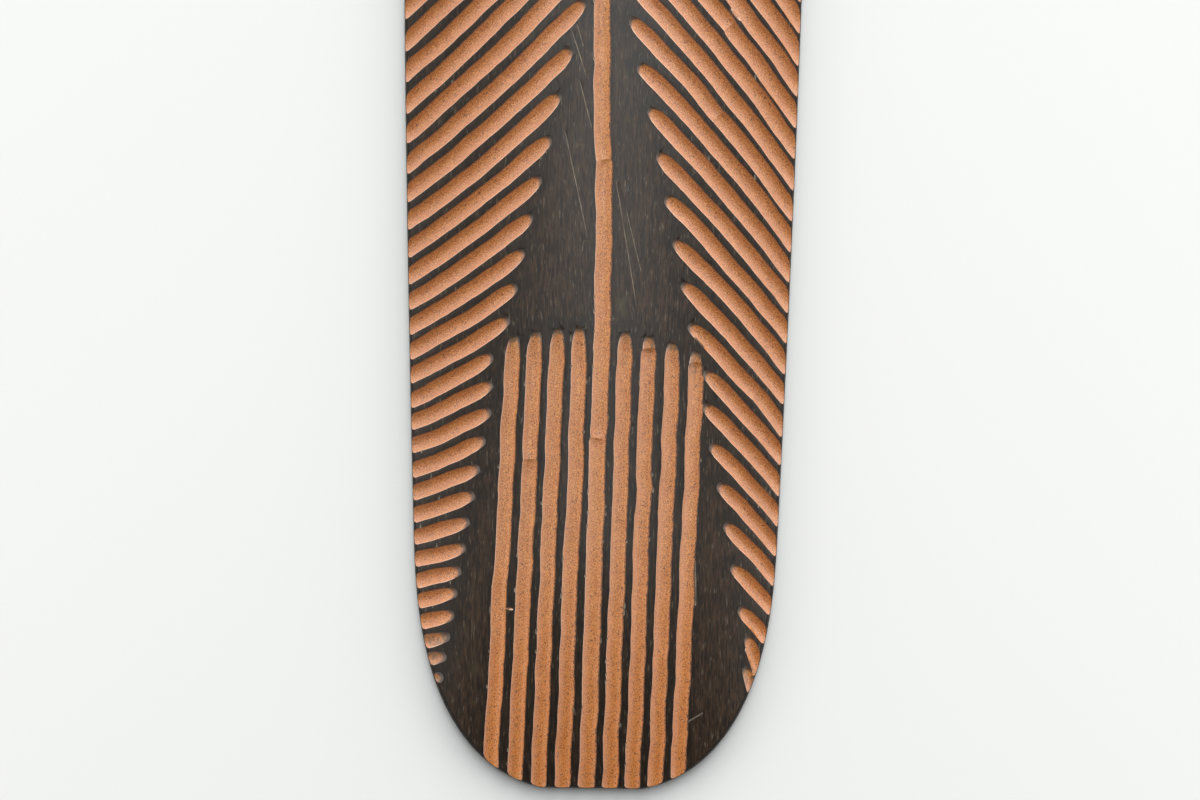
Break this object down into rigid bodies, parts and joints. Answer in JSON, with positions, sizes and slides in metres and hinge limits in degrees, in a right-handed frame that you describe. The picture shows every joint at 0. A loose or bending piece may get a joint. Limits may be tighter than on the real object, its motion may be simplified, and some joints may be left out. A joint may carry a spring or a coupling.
{
  "type": "carved wooden shield",
  "caption": "Long narrow wooden shield with rounded ends, a low domed face carved with a comb of upright flutes and slanting flutes, and a hand grip sunk in its flat back.",
  "frame": {"origin": "middle of the shield's outline, on the flat back that it lies on", "axes": "+Y along the shield's length towards its head, +Z out of the carved face, +X to the right as seen from the face"},
  "size_m": [0.251, 1.2, 0.0379],
  "materials": {
    "stained_wood": "black-stained carved wood, matt, with orange-brown earth pigment rubbed into the cuts"
  },
  "bodies": {
    "root": {"shield": "stained_wood"}
  },
  "joints": []
}
